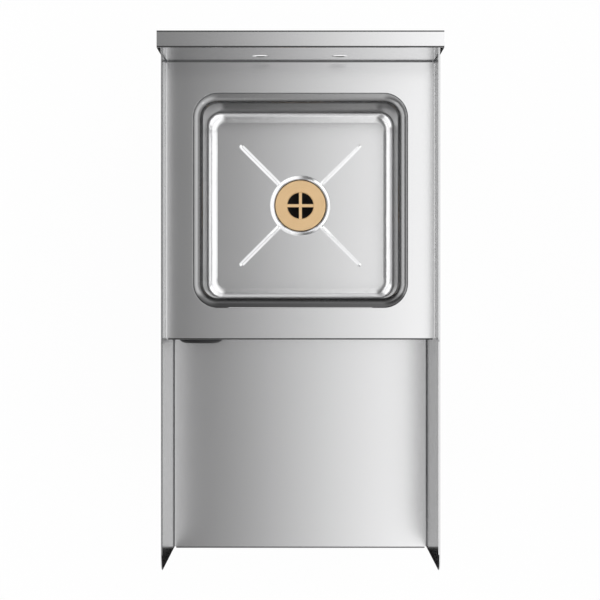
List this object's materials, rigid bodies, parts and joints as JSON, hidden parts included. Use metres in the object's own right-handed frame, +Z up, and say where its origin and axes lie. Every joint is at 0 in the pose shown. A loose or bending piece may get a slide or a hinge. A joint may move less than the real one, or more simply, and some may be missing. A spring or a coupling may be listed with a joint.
{
  "type": "underbar blender station",
  "caption": "Free-standing stainless underbar station: square dump sink in a deck with a backsplash, a lower blender shelf between side panels, and tubular legs with levelling feet.",
  "frame": {"origin": "on the floor under the middle of the unit", "axes": "+Z up, the working front faces -Y, the backsplash is at +Y, +X to the right seen from the front"},
  "size_m": [0.3556, 0.6794, 0.9144],
  "materials": {
    "stainless": "satin brushed stainless sheet, fine straight grain",
    "galvanised": "galvanised steel",
    "cast": "cast, lightly polished",
    "brass": "plain satin brass",
    "zinc": "zinc plated",
    "rubber": "black moulded rubber",
    "fibre": "fibre",
    "nylon": "black moulded nylon"
  },
  "bodies": {
    "station": {"backsplash": "stainless", "blender_shelf": "stainless", "cord_grommet": "rubber", "deck_panel": "stainless", "drain_body": "brass", "drain_friction_ring": "fibre", "drain_gasket": "rubber", "drain_locknut": "brass", "drain_washer": "rubber", "front_left_foot_socket": "nylon", "front_left_leg": "stainless", "front_left_leg_gusset": "cast", "front_leg_channel": "galvanised", "front_right_foot_socket": "nylon", "front_right_leg": "stainless", "front_right_leg_gusset": "cast", "gusset_bolts": "zinc", "gusset_nuts": "zinc", "left_side_panel": "stainless", "left_splash_end_cap": "stainless", "leg_set_screws": "zinc", "rear_left_foot_socket": "nylon", "rear_left_leg": "stainless", "rear_left_leg_gusset": "cast", "rear_leg_channel": "galvanised", "rear_right_foot_socket": "nylon", "rear_right_leg": "stainless", "rear_right_leg_gusset": "cast", "right_side_panel": "stainless", "right_splash_end_cap": "stainless", "riser_panel": "stainless", "shelf_stiffener": "galvanised", "sink_bowl": "stainless"},
    "front_left_foot": {"front_left_foot": "nylon", "front_left_foot_stud": "zinc"},
    "front_right_foot": {"front_right_foot": "nylon", "front_right_foot_stud": "zinc"},
    "rear_left_foot": {"rear_left_foot": "nylon", "rear_left_foot_stud": "zinc"},
    "rear_right_foot": {"rear_right_foot": "nylon", "rear_right_foot_stud": "zinc"}
  },
  "joints": [
    {"name": "front_left_foot_height", "type": "slide", "parent": "station", "child": "front_left_foot", "axis": [0, 0, -1], "range_m": [-0.01, 0.015]},
    {"name": "front_right_foot_height", "type": "slide", "parent": "station", "child": "front_right_foot", "axis": [0, 0, -1], "range_m": [-0.01, 0.015]},
    {"name": "rear_left_foot_height", "type": "slide", "parent": "station", "child": "rear_left_foot", "axis": [0, 0, -1], "range_m": [-0.01, 0.015]},
    {"name": "rear_right_foot_height", "type": "slide", "parent": "station", "child": "rear_right_foot", "axis": [0, 0, -1], "range_m": [-0.01, 0.015]}
  ]
}
